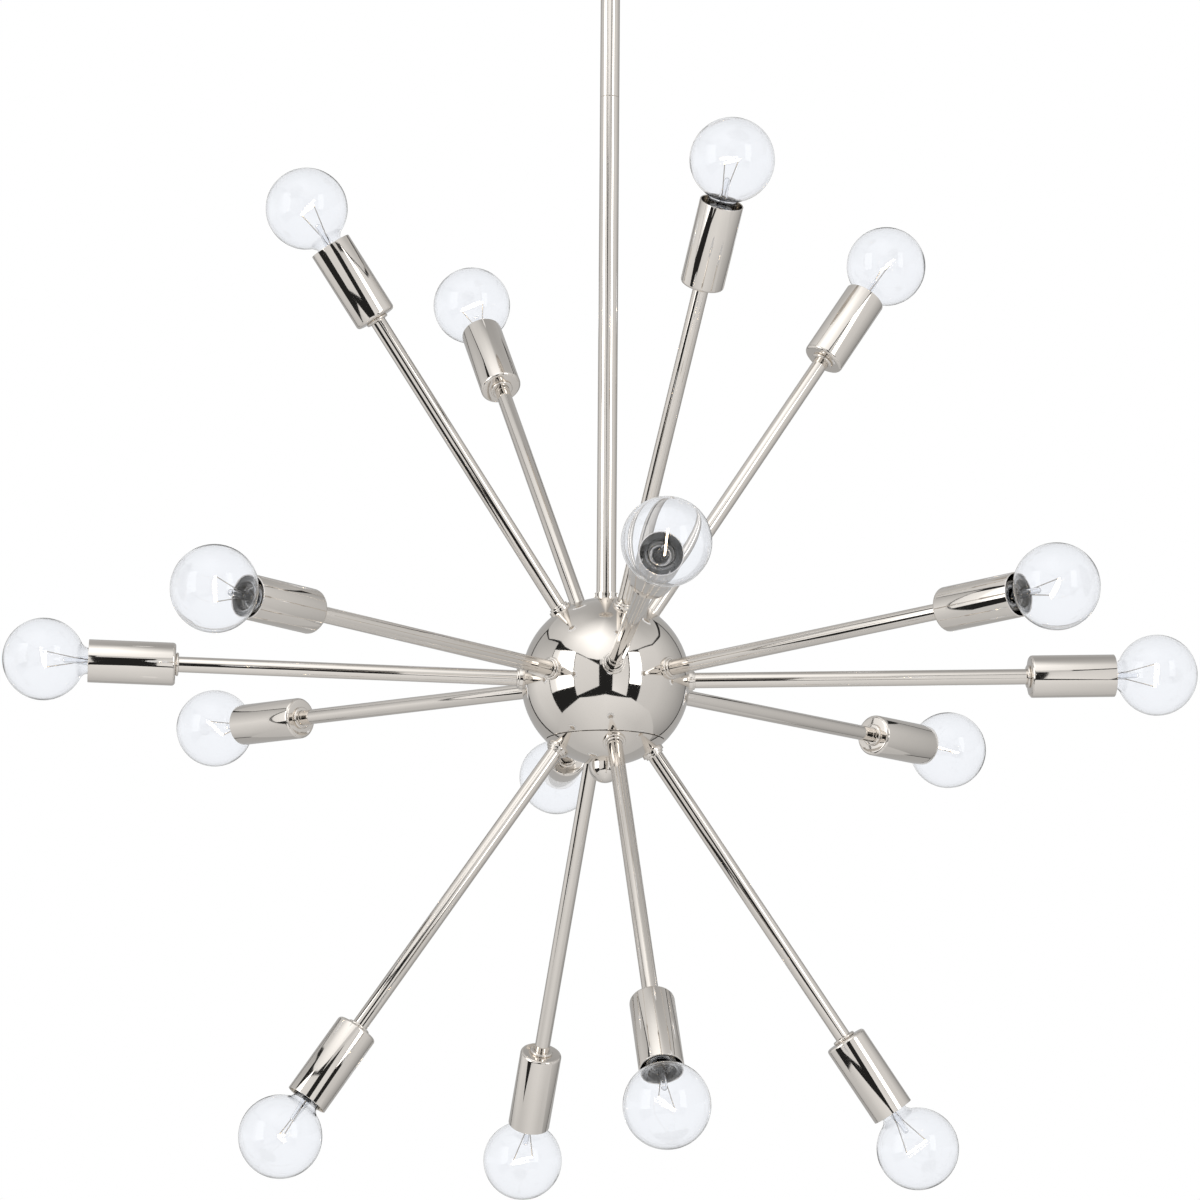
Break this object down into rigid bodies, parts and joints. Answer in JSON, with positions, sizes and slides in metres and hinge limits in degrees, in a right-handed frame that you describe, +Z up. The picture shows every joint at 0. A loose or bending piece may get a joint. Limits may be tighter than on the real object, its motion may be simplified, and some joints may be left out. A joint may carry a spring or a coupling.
{
  "type": "sputnik chandelier",
  "caption": "Ball hub hung on a stem below a ceiling canopy, with radial tube arms that each end in a cylindrical socket cup and a clear globe bulb.",
  "frame": {"origin": "centre of the ceiling face of the mounting strap, midway between its two slots", "axes": "+Z up through the ceiling, -Y towards the viewer of the picture, +X to that viewer's right"},
  "size_m": [0.7654, 0.7647, 0.9176],
  "materials": {
    "nickel": "polished nickel, mirror",
    "zinc_steel": "zinc plated, satin",
    "brass": "plain brass",
    "phenolic": "moulded, semi-gloss",
    "connector": "moulded, matt",
    "wire_sheath": "extruded sheath",
    "tape": "wound tape, matt",
    "bulb_glass": "clear, blown"
  },
  "bodies": {
    "ceiling_mount": {"mounting_strap": "zinc_steel", "canopy": "nickel", "canopy_screws": "zinc_steel", "canopy_ball_nuts": "nickel", "canopy_leads": "wire_sheath", "canopy_connectors": "connector", "swivel_stud": "zinc_steel", "stud_nut": "zinc_steel"},
    "swivel": {"swivel_fork": "nickel", "swivel_pins": "nickel"},
    "fixture": {"swivel_tongue": "nickel", "upper_stem": "nickel", "stem_coupling": "zinc_steel", "lower_stem": "nickel", "hub_stem_collar": "nickel", "hub_shell": "nickel", "hub_lower_cap": "nickel", "hub_centre_pipe": "zinc_steel", "hub_splice": "tape", "finial": "nickel", "lock_nuts": "zinc_steel", "arm_hub_collars": "nickel", "cup_neck_rings": "nickel", "socket_cups": "nickel", "socket_insulators": "phenolic", "socket_screw_shells": "brass", "socket_contacts": "brass", "fixture_wires": "wire_sheath", "arm_tube_01": "nickel", "arm_tube_02": "nickel", "arm_tube_03": "nickel", "arm_tube_04": "nickel", "arm_tube_05": "nickel", "arm_tube_06": "nickel", "arm_tube_07": "nickel", "arm_tube_08": "nickel", "arm_tube_09": "nickel", "arm_tube_10": "nickel", "arm_tube_11": "nickel", "arm_tube_12": "nickel", "arm_tube_13": "nickel", "arm_tube_14": "nickel", "arm_tube_15": "nickel", "arm_tube_16": "nickel"},
    "lamp_01": {"bulb_01": "bulb_glass"},
    "lamp_02": {"bulb_02": "bulb_glass"},
    "lamp_03": {"bulb_03": "bulb_glass"},
    "lamp_04": {"bulb_04": "bulb_glass"},
    "lamp_05": {"bulb_05": "bulb_glass"},
    "lamp_06": {"bulb_06": "bulb_glass"},
    "lamp_07": {"bulb_07": "bulb_glass"},
    "lamp_08": {"bulb_08": "bulb_glass"},
    "lamp_09": {"bulb_09": "bulb_glass"},
    "lamp_10": {"bulb_10": "bulb_glass"},
    "lamp_11": {"bulb_11": "bulb_glass"},
    "lamp_12": {"bulb_12": "bulb_glass"},
    "lamp_13": {"bulb_13": "bulb_glass"},
    "lamp_14": {"bulb_14": "bulb_glass"},
    "lamp_15": {"bulb_15": "bulb_glass"},
    "lamp_16": {"bulb_16": "bulb_glass"}
  },
  "joints": [
    {"name": "swivel_turn", "type": "hinge", "parent": "ceiling_mount", "child": "swivel", "pos_m": [0, 0, -0.0283], "axis": [0, 0, 1], "range_deg": [-160, 160]},
    {"name": "swivel_tilt", "type": "hinge", "parent": "swivel", "child": "fixture", "pos_m": [0, 0, -0.0405], "axis": [1, 0, 0], "range_deg": [-30, 30]},
    {"name": "lamp_01_out", "type": "slide", "parent": "fixture", "child": "lamp_01", "axis": [0.0958, -0.9944, 0.0436], "range_m": [0, 0.03]},
    {"name": "lamp_02_out", "type": "slide", "parent": "fixture", "child": "lamp_02", "axis": [0.7482, -0.662, 0.0436], "range_m": [0, 0.03]},
    {"name": "lamp_03_out", "type": "slide", "parent": "fixture", "child": "lamp_03", "axis": [0.9956, 0.0871, 0.0349], "range_m": [0, 0.03]},
    {"name": "lamp_04_out", "type": "slide", "parent": "fixture", "child": "lamp_04", "axis": [0.6626, 0.7489, 0.0087], "range_m": [0, 0.03]},
    {"name": "lamp_05_out", "type": "slide", "parent": "fixture", "child": "lamp_05", "axis": [-0.0958, 0.9954, -0.0087], "range_m": [0, 0.03]},
    {"name": "lamp_06_out", "type": "slide", "parent": "fixture", "child": "lamp_06", "axis": [-0.7487, 0.6624, 0.0262], "range_m": [0, 0.03]},
    {"name": "lamp_07_out", "type": "slide", "parent": "fixture", "child": "lamp_07", "axis": [-0.996, -0.0871, 0.0175], "range_m": [0, 0.03]},
    {"name": "lamp_08_out", "type": "slide", "parent": "fixture", "child": "lamp_08", "axis": [-0.6428, -0.766, 0.0087], "range_m": [0, 0.03]},
    {"name": "lamp_09_out", "type": "slide", "parent": "fixture", "child": "lamp_09", "axis": [0.2106, -0.5487, 0.809], "range_m": [0, 0.03]},
    {"name": "lamp_10_out", "type": "slide", "parent": "fixture", "child": "lamp_10", "axis": [0.5166, 0.214, 0.829], "range_m": [0, 0.03]},
    {"name": "lamp_11_out", "type": "slide", "parent": "fixture", "child": "lamp_11", "axis": [-0.2615, 0.5024, 0.8241], "range_m": [0, 0.03]},
    {"name": "lamp_12_out", "type": "slide", "parent": "fixture", "child": "lamp_12", "axis": [-0.5402, -0.1703, 0.8241], "range_m": [0, 0.03]},
    {"name": "lamp_13_out", "type": "slide", "parent": "fixture", "child": "lamp_13", "axis": [0.1058, -0.571, -0.8141], "range_m": [0, 0.03]},
    {"name": "lamp_14_out", "type": "slide", "parent": "fixture", "child": "lamp_14", "axis": [0.561, 0.1193, -0.8192], "range_m": [0, 0.03]},
    {"name": "lamp_15_out", "type": "slide", "parent": "fixture", "child": "lamp_15", "axis": [-0.1489, 0.5759, -0.8039], "range_m": [0, 0.03]},
    {"name": "lamp_16_out", "type": "slide", "parent": "fixture", "child": "lamp_16", "axis": [-0.5609, -0.0788, -0.8241], "range_m": [0, 0.03]}
  ]
}
